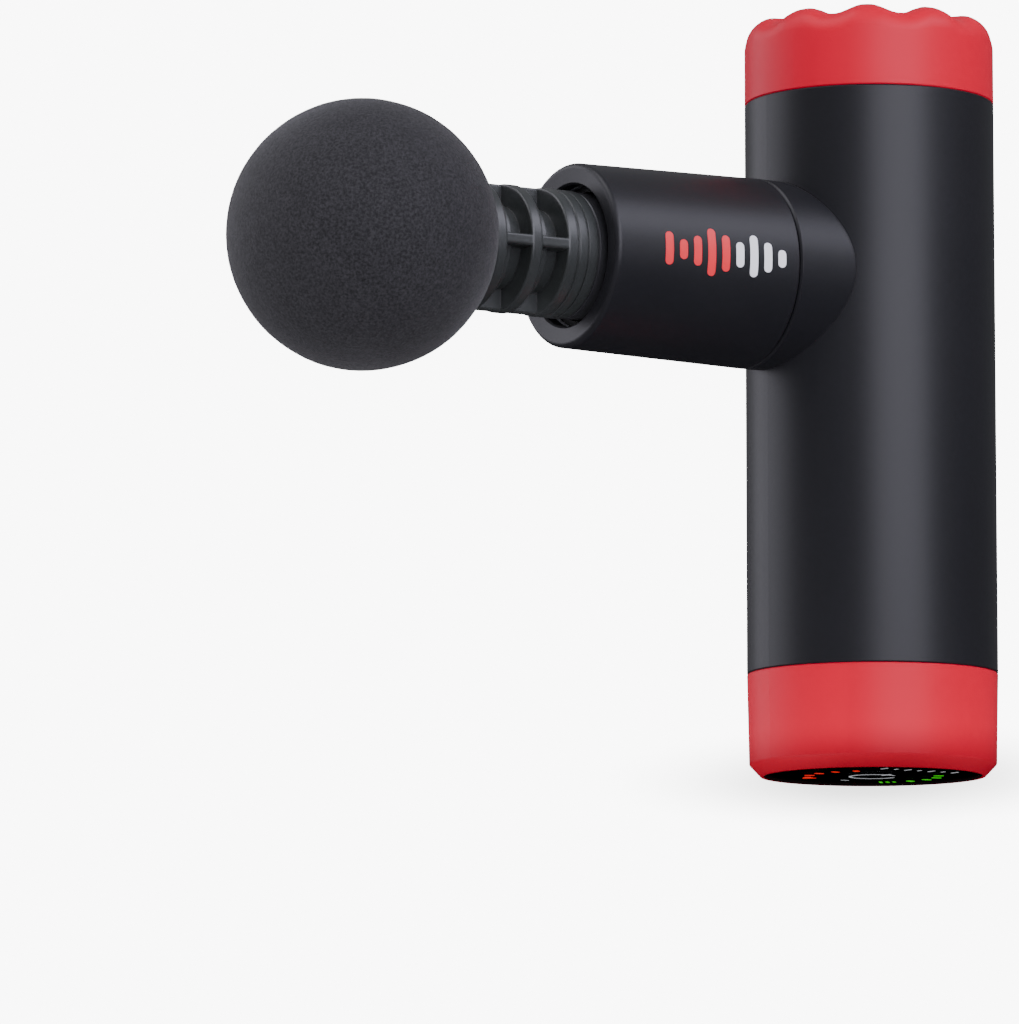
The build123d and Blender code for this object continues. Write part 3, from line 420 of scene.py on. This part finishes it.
# %% Cut the ball to its seat on the stem
ball_divisions = 7
skin_room = 0.05 * MM
seat_rim = 1.2 * MM
seat_depth = 1.5 * MM
start_clean()
bpy.ops.mesh.primitive_ico_sphere_add(subdivisions=ball_divisions,
                                      radius=ball_radius - skin_room, location=ball_centre)
ball = bpy.context.active_object
bpy.ops.object.mode_set(mode="EDIT")
bpy.ops.mesh.select_all(action="SELECT")
bpy.ops.mesh.bisect(plane_co=(ball_low.x, 0, 0), plane_no=(1, 0, 0), clear_inner=True,
                    use_fill=True)
bpy.ops.mesh.inset(thickness=seat_rim)
bpy.ops.mesh.extrude_region_move(TRANSFORM_OT_translate={"value": (seat_depth, 0, 0)})
bpy.ops.object.mode_set(mode="OBJECT")
print("ball cut flat at x", round(ball_low.x / MM, 2))

# %% Give the ball its foam skin
for label, size_mm, depth_mm in (("foam_swell", 9.0, 0.12), ("foam_cells", 1.3, 0.05)):
    cells = bpy.data.textures.new(label, type="CLOUDS")
    cells.noise_scale = size_mm * MM
    cells.noise_depth = 2
    skin = ball.modifiers.new(label, "DISPLACE")
    skin.texture = cells
    skin.texture_coords = "LOCAL"
    skin.strength = depth_mm * MM
    skin.mid_level = 1.0
    bpy.ops.object.modifier_apply(modifier=label)
settle(ball, "foam_ball_skin", "head", angle=60)
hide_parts("foam_ball")

# %% [markdown]
# ## The foam's material
# Closed-cell foam, moulded and left raw, is a warm charcoal. Its open pores are painted
# darker than the skin between them, as the shade in the hollows that the bump sinks, so the
# eye gets a fine speckle in the middle. The skin scatters light at the rim, and from a little
# sheen the ball gets a lighter outline. Real pores are about 0.2 mm, and the speckle is drawn
# at 0.5 mm so that it shows.

# %% Material of the foam
pore_mm = 0.5
worn_patch_mm = 14.0
pore_lift_mm = 0.11
foam, tree = new_material("closed_cell_foam")
place = add(tree, "ShaderNodeTexCoord")
speck = add(tree, "ShaderNodeTexNoise", Vector=place.outputs["Object"],
            Scale=per_metre(pore_mm), Detail=5.0, Roughness=0.75)
cloud = add(tree, "ShaderNodeTexNoise", Vector=place.outputs["Object"],
            Scale=per_metre(worn_patch_mm), Detail=2.0)
# Painted shade in the pores: where the pore noise is low and the bump sinks the skin, the colour
# is darker.
painted_pore_shade = add(tree, "ShaderNodeMapRange", Value=speck.outputs["Fac"], From_Min=0.38,
             From_Max=0.62)
tone = add(tree, "ShaderNodeMix", {"data_type": "RGBA"}, _0=painted_pore_shade.outputs["Result"],
           _6=colour("161617"), _7=colour("302f31"))
worn = add(tree, "ShaderNodeMapRange", Value=cloud.outputs["Fac"], To_Min=0.82, To_Max=1.12)
shade = add(tree, "ShaderNodeVectorMath", {"operation": "SCALE"}, _0=tone.outputs[2],
            Scale=worn.outputs["Result"])
bump = add(tree, "ShaderNodeBump", Height=speck.outputs["Fac"], Distance=pore_lift_mm * MM)
shader = add(tree, "ShaderNodeBsdfPrincipled", Base_Color=shade.outputs[0], Roughness=0.85,
             Normal=bump.outputs["Normal"])
set_constants(shader, {"Sheen Weight": 0.12, "Sheen Roughness": 0.4,
                       "Specular IOR Level": 0.25})
add(tree, "ShaderNodeOutputMaterial", Surface=shader.outputs["BSDF"])
dress(ball, foam)
print(foam.name, "pores", pore_mm, "mm")

# %% [markdown]
# ## Flat marks with round corners
# The lit windows of the display and the print on the barrel all start the same way: a flat
# plate whose four corners are rounded. Bevelling the corner points, rather than edges, cuts
# them round while the plate stays one flat face.


# %% Helpers for rounded plates
def rounded_plate(length_mm, width_mm, corner_mm):
    """A flat plate at the origin, facing +Z, with four round corners."""
    start_clean()
    bpy.ops.mesh.primitive_plane_add(size=1)
    plate = bpy.context.active_object
    plate.scale = (length_mm * MM, width_mm * MM, 1)
    bpy.ops.object.transform_apply(location=False, rotation=False, scale=True)
    bpy.ops.object.mode_set(mode="EDIT")
    bpy.ops.mesh.select_all(action="SELECT")
    bpy.ops.mesh.bevel(offset=corner_mm * MM, segments=4, affect="VERTICES")
    bpy.ops.object.mode_set(mode="OBJECT")
    return plate


def join_as(parts, name, material):
    """Joins small marks into one piece that rides on the handle."""
    start_clean()
    for part in parts:
        part.select_set(True)
    bpy.context.view_layer.objects.active = parts[0]
    bpy.ops.object.transform_apply(location=True, rotation=True, scale=True)
    bpy.ops.object.join()
    piece = bpy.context.active_object
    settle(piece, name, "handle")
    dress(piece, material)


# %% [markdown]
# ## The lit symbols of the display
# Seen from below, the glass shows two arcs of lamps, red towards the barrel and green away
# from it, round a white power symbol, with small white ticks along one side. Printed signs
# would be read as words, so they are plain ticks here. Each lit window is a rounded plate
# with a few hundredths of a millimetre of depth, standing on the face of the glass.

# %% Helper for a lit window
window_depth = 0.03 * MM
window_roundness = 0.45


def window(length_mm, width_mm, radius, degrees):
    """A lit window on the glass, this far out at this angle, its length along the radius."""
    bar = rounded_plate(length_mm, width_mm, width_mm * window_roundness)
    bpy.ops.object.mode_set(mode="EDIT")
    bpy.ops.mesh.select_all(action="SELECT")
    bpy.ops.mesh.extrude_region_move(TRANSFORM_OT_translate={"value": (0, 0, -window_depth)})
    bpy.ops.mesh.select_all(action="SELECT")
    bpy.ops.mesh.normals_make_consistent(inside=False)
    bpy.ops.object.mode_set(mode="OBJECT")
    angle = math.radians(degrees)
    bar.rotation_euler = (0, 0, angle)
    bar.location = (radius * math.cos(angle), radius * math.sin(angle), glass_low.z)
    return bar


# %% [markdown]
# Each arc has four lamps, twenty degrees apart, and at one end a sign of three rising bars
# for speed or for charge.

# %% Lamp arcs
lamp_arc = 12.0 * MM
lamp_pitch = 20
lamp_long_mm, lamp_wide_mm = 1.9, 1.1
sign_long_mm, sign_rise_mm, sign_wide_mm = 1.2, 0.7, 0.55


def lamp_row(first_lamp, first_sign, sign_pitch):
    """The windows of one arc, from the degrees of its first lamp and first sign bar."""
    lamps = [window(lamp_long_mm, lamp_wide_mm, lamp_arc, first_lamp + lamp_pitch * step)
             for step in range(4)]
    bars = [window(sign_long_mm + sign_rise_mm * step, sign_wide_mm, lamp_arc,
                   first_sign + sign_pitch * step) for step in range(3)]
    return lamps + bars


join_as(lamp_row(-20, -36, -6), "speed_lamps", lamp_red)
join_as(lamp_row(140, 216, 6), "charge_lamps", lamp_green)

# %% [markdown]
# The power symbol is a broken ring with a bar in its gap. The ring is spun: a small upright
# face is swept round the handle's axis through all but the gap. A spin can turn faces
# inside out, so its doubles are merged and its normals recalculated.

# %% Power symbol
ring_radius = 4.25 * MM
ring_width = 0.5 * MM
ring_gap = math.radians(56)
stroke_long_mm, stroke_wide_mm, stroke_out = 2.8, 0.5, 4.2 * MM
start_clean()
bpy.ops.mesh.primitive_plane_add(
    size=1, location=(ring_radius, 0, glass_low.z - window_depth / 2),
    rotation=(math.pi / 2, 0, 0))
power_ring = bpy.context.active_object
power_ring.scale = (ring_width, window_depth, 1)
bpy.ops.object.transform_apply(location=True, rotation=True, scale=True)
bpy.ops.object.mode_set(mode="EDIT")
bpy.ops.mesh.select_all(action="SELECT")
bpy.ops.mesh.spin(steps=48, angle=2 * math.pi - ring_gap, center=(0, 0, 0), axis=(0, 0, 1))
bpy.ops.mesh.select_all(action="SELECT")
bpy.ops.mesh.remove_doubles(threshold=0.001 * MM)
bpy.ops.mesh.normals_make_consistent(inside=False)
bpy.ops.object.mode_set(mode="OBJECT")
power_ring.rotation_euler.z = math.pi / 2 + ring_gap / 2
power_bar = window(stroke_long_mm, stroke_wide_mm, stroke_out, 90)
join_as([power_ring, power_bar], "power_symbol", lamp_white)

# %% [markdown]
# The ticks stand in a straight row across the glass, long and short in turn, and one more
# lies across the other side of the symbol.

# %% Ticks
tick_pitch = 2.6 * MM
tick_out = 14.6 * MM
tick_wide_mm = 0.4
dash_out = 9.0 * MM
ticks = []
for index in range(-3, 4):
    tick = window(2.2 if index % 2 else 1.2, tick_wide_mm, tick_out, 90)
    tick.location.x = index * tick_pitch
    ticks.append(tick)
ticks.append(window(0.5, 1.6, dash_out, -90))
join_as(ticks, "scale_ticks", lamp_white)

# %% [markdown]
# ## The print on the barrel
# The side of the barrel carries a two-colour pad print, here a plain row of rounded bars. A
# pad lays a skin of ink that takes the shape of what it touches, and a shrinkwrap does the
# same: flat bars stand in front of the barrel and are pressed straight onto it. Crossing
# cuts first give them enough points to bend, and a solidify gives the ink its thickness.

# %% Helper for a print bar
print_start = 31.5 * MM
print_pitch = 3.0 * MM
bar_wide_mm, bar_corner_mm = 1.7, 0.8
bar_cuts = 16
ink_skin = 0.04 * MM


def print_bar(index, tall_mm):
    """One bar of ink pressed onto the side of the barrel."""
    bar = rounded_plate(bar_wide_mm, tall_mm, bar_corner_mm)
    bar.rotation_euler = (math.pi / 2, 0, math.pi)
    bar.location = (print_start + index * print_pitch, sleeve_high.y + 1 * MM, barrel_z)
    bpy.ops.object.transform_apply(location=True, rotation=True, scale=True)
    bpy.ops.object.mode_set(mode="EDIT")
    for cut in range(1, bar_cuts):
        bpy.ops.mesh.select_all(action="SELECT")
        level = barrel_z + (cut / bar_cuts - 0.5) * tall_mm * MM
        bpy.ops.mesh.bisect(plane_co=(0, 0, level), plane_no=(0, 0, 1))
    bpy.ops.object.mode_set(mode="OBJECT")
    press = bar.modifiers.new("press", "SHRINKWRAP")
    press.target = nodes["barrel_sleeve"]
    press.wrap_method = "PROJECT"
    press.use_project_y = True
    press.use_positive_direction = False
    press.use_negative_direction = True
    press.offset = ink_skin
    bpy.ops.object.modifier_apply(modifier="press")
    skin = bar.modifiers.new("skin", "SOLIDIFY")
    skin.thickness = ink_skin
    bpy.ops.object.modifier_apply(modifier="skin")
    return bar


# %% Print in two colours
# Pad-printing ink is laid in one thin film and dries to an even satin, so the bars catch
# the light as the barrel does and look part of it.
ink_red = grained("pad_print_red", "e2202c", "d81c28", 0.45, 0.3, 0.004, patch_mm=5)
ink_white = grained("pad_print_white", "eeeef0", "e6e6e8", 0.45, 0.3, 0.004, patch_mm=5)
white_tall_mm = (3.2, 5.4, 7.6, 4.6)
red_tall_mm = (6.6, 8.6, 5.4, 3.6, 6.0)
white_bars = [print_bar(index, tall) for index, tall in enumerate(white_tall_mm)]
red_bars = [print_bar(index, tall) for index, tall in enumerate(red_tall_mm, len(white_bars))]
join_as(white_bars, "print_white", ink_white)
join_as(red_bars, "print_red", ink_red)

# %% [markdown]
# ## The camera
# The camera stands far off with a long lens and looks slightly upwards, so the base of the
# handle and its display come into view. It is set up before the studio, because the floor's
# painted soft shadow is drawn out towards it and the lamps are placed from it.

# %% Camera
camera_place = Vector((0.7515, 1.0646, -0.1148))
camera_aim = Vector((0.0544, -0.0384, 0.0492))
camera_data = bpy.data.cameras.new("product_camera")
camera_data.lens = 251.0
camera_data.sensor_width = 36.0
camera = bpy.data.objects.new("product_camera", camera_data)
bpy.context.scene.collection.objects.link(camera)
camera.location = camera_place
camera.rotation_mode = "QUATERNION"
camera.rotation_quaternion = (camera_aim - camera_place).to_track_quat("-Z", "Y")
bpy.context.scene.camera = camera
print("camera", round((camera_place - camera_aim).length, 3), "m away")

# %% [markdown]
# ## The floor
# The gun stands on a sheet of pale paper. Paper is matte and has no grain that shows at
# this size, so its shader is plain diffuse and the work goes into what each ray sees:
# - The eye sees it pale. What it throws back onto the gun is darker, or the black shells
#   would turn grey, and mirror reflections see it darkest.
# - Only its upper side is there. From below it can be looked through, and it lets light
#   pass, so that the display in the base can be seen and lit.

# %% Paper and its rays
start_clean()
bpy.ops.mesh.primitive_plane_add(size=6, location=(0, 0, -0.6 * MM))
floor = bpy.context.active_object
floor.name = "studio_floor"
paper, tree = new_material("studio_paper")
side = add(tree, "ShaderNodeNewGeometry")
ray = add(tree, "ShaderNodeLightPath")
bounce = add(tree, "ShaderNodeMix", {"data_type": "RGBA"}, _0=ray.outputs["Is Diffuse Ray"],
             _6=colour("2a2a2c"), _7=colour("bcbcbc"))
tint = add(tree, "ShaderNodeMix", {"data_type": "RGBA"}, _0=ray.outputs["Is Camera Ray"],
           _6=bounce.outputs[2], _7=colour("eeeeec"))
pale = add(tree, "ShaderNodeBsdfDiffuse", Color=tint.outputs[2])
spread = add(tree, "ShaderNodeTexCoord")
reach = add(tree, "ShaderNodeVectorMath", {"operation": "LENGTH"},
            _0=spread.outputs["Object"])
print("paper laid at z", round(floor.location.z / MM, 2))

# %% [markdown]
# Away from the gun the paper fades into the white backdrop, as a sweep of paper does, so
# there is no horizon. Close to the handle it glows softly onto the chamfer of the red ring,
# as a small reflector under a product would.

# %% Fade and reflector
backdrop_glow = 9.0
fade = add(tree, "ShaderNodeMapRange", {"interpolation_type": "SMOOTHSTEP"},
           Value=reach.outputs["Value"], From_Min=0.1, From_Max=0.9, To_Min=0.12, To_Max=1.0)
faded = add(tree, "ShaderNodeMath", {"operation": "MULTIPLY"}, _0=fade.outputs[0],
            _1=ray.outputs["Is Camera Ray"])
backdrop = add(tree, "ShaderNodeEmission", Color=colour("ffffff"), Strength=backdrop_glow)
upper = add(tree, "ShaderNodeMixShader", _0=faded.outputs[0], _1=pale.outputs[0],
            _2=backdrop.outputs[0])
lift = add(tree, "ShaderNodeMapRange", Value=reach.outputs["Value"], From_Min=0.02,
           From_Max=0.08, To_Min=1.3, To_Max=0.0)
lifted = add(tree, "ShaderNodeMath", {"operation": "MULTIPLY"}, _0=lift.outputs[0],
             _1=ray.outputs["Is Diffuse Ray"])
reflector = add(tree, "ShaderNodeEmission", Color=colour("ffffff"), Strength=lifted.outputs[0])
topside = add(tree, "ShaderNodeAddShader", _0=upper.outputs[0], _1=reflector.outputs[0])
print("fade and reflector made")

# %% [markdown]
# Seen from below, the paper is clear, and a real shadow would be lost with it. A painted
# shadow takes its place: the clear side is darker near the handle's foot, in a soft oval that
# is drawn out towards the camera. Shadow rays pass it untouched.

# %% Painted shadow and see-through side
towards_camera = math.atan2(camera_place.y - camera_aim.y, camera_place.x - camera_aim.x)
drawn_out = add(tree, "ShaderNodeMapping", {"vector_type": "TEXTURE"}, Scale=(1.7, 0.75, 1.0),
                Vector=spread.outputs["Object"], Rotation=(0, 0, towards_camera))
near = add(tree, "ShaderNodeVectorMath", {"operation": "LENGTH"},
           _0=drawn_out.outputs["Vector"])
# Painted shadow: the see-through side is tinted darker in an oval round the handle's foot.
painted_shadow = add(tree, "ShaderNodeMapRange", {"interpolation_type": "SMOOTHSTEP"},
           Value=near.outputs["Value"], From_Min=0.01, From_Max=0.07, To_Min=0.3, To_Max=1.0)
painted_shadow_tint = add(tree, "ShaderNodeMath", {"operation": "MAXIMUM"}, _0=painted_shadow.outputs[0],
               _1=ray.outputs["Is Shadow Ray"])
clear = add(tree, "ShaderNodeBsdfTransparent", Color=painted_shadow_tint.outputs[0])
through = add(tree, "ShaderNodeMath", {"operation": "MAXIMUM"}, _0=side.outputs["Backfacing"],
              _1=ray.outputs["Is Shadow Ray"])
either = add(tree, "ShaderNodeMixShader", _0=through.outputs[0], _1=topside.outputs[0],
             _2=clear.outputs[0])
add(tree, "ShaderNodeOutputMaterial", Surface=either.outputs[0])
dress(floor, paper)
print("veil turned", round(math.degrees(towards_camera), 1), "degrees")

# %% [markdown]
# ## The room
# The camera sees a white backdrop. Everything else is lit by a much dimmer room, darker
# below than above, so that black surfaces stay black and the lamps draw their shapes.

# %% Room light
world = bpy.data.worlds.new("white_room")
bpy.context.scene.world = world
world.use_nodes = True
tree = world.node_tree
tree.nodes.clear()
path = add(tree, "ShaderNodeLightPath")
way = add(tree, "ShaderNodeTexCoord")
split = add(tree, "ShaderNodeSeparateXYZ", _0=way.outputs["Generated"])
above = add(tree, "ShaderNodeMapRange", Value=split.outputs["Z"], From_Min=-0.2, From_Max=0.6,
            To_Min=0.08, To_Max=0.34)
lighting = add(tree, "ShaderNodeBackground", Color=colour("f2f3f8"), Strength=above.outputs[0])
seen = add(tree, "ShaderNodeBackground", Color=colour("ffffff"), Strength=backdrop_glow)
room = add(tree, "ShaderNodeMixShader", _0=path.outputs["Is Camera Ray"],
           _1=lighting.outputs[0], _2=seen.outputs[0])
add(tree, "ShaderNodeOutputWorld", Surface=room.outputs[0])
print(world.name, "made")

# %% [markdown]
# ## Soft lamps
# Large lamps give satin parts their broad highlights. On an upright tube the turn of a lamp
# sets where its highlight stands: the key draws the band right of the middle, the rim lamp
# the one near the left edge. The lamp over the barrel lights its upper side, and two more
# lift the foam ball from above and below.


# %% Soft lamps
def soft_lamp(name, turn, rise, distance, size, glow, tint):
    """A square lamp aimed at the gun: degrees right of the camera and above the floor.
    Its glow is the brightness of its face, so its size can change on its own."""
    middle = Vector((0.04, 0, 0.07))
    towards = Vector((camera_place.x, camera_place.y, 0)).normalized()
    right = Vector((-towards.y, towards.x, 0))
    angle, lift = math.radians(turn), math.radians(rise)
    level = towards * math.cos(angle) + right * math.sin(angle)
    spot = middle + (level * math.cos(lift) + Vector((0, 0, math.sin(lift)))) * distance
    data = bpy.data.lights.new(name, "AREA")
    data.shape = "RECTANGLE"
    data.size, data.size_y = size
    data.energy = glow * math.pi * size[0] * size[1]
    data.color = colour(tint)[:3]
    lamp = bpy.data.objects.new(name, data)
    bpy.context.scene.collection.objects.link(lamp)
    lamp.location = spot
    lamp.rotation_mode = "QUATERNION"
    lamp.rotation_quaternion = (middle - spot).to_track_quat("-Z", "Y")
    print(name, "at", [round(v, 2) for v in spot], round(data.energy, 1), "W")


soft_lamp("key_right", 28, 8, 1.3, (1.2, 1.6), 5.2, "f1f0ff")
soft_lamp("rim_left", -108, 8, 1.2, (1.2, 1.5), 2.1, "f4f2ff")
soft_lamp("over_barrel", 66, 40, 1.2, (0.9, 0.6), 4.6, "eeedff")
soft_lamp("top_left", -60, 58, 1.3, (1.0, 0.8), 3.4, "f8f6ff")
soft_lamp("low_left", -66, -34, 1.2, (1.0, 0.9), 4.4, "f8f6ff")
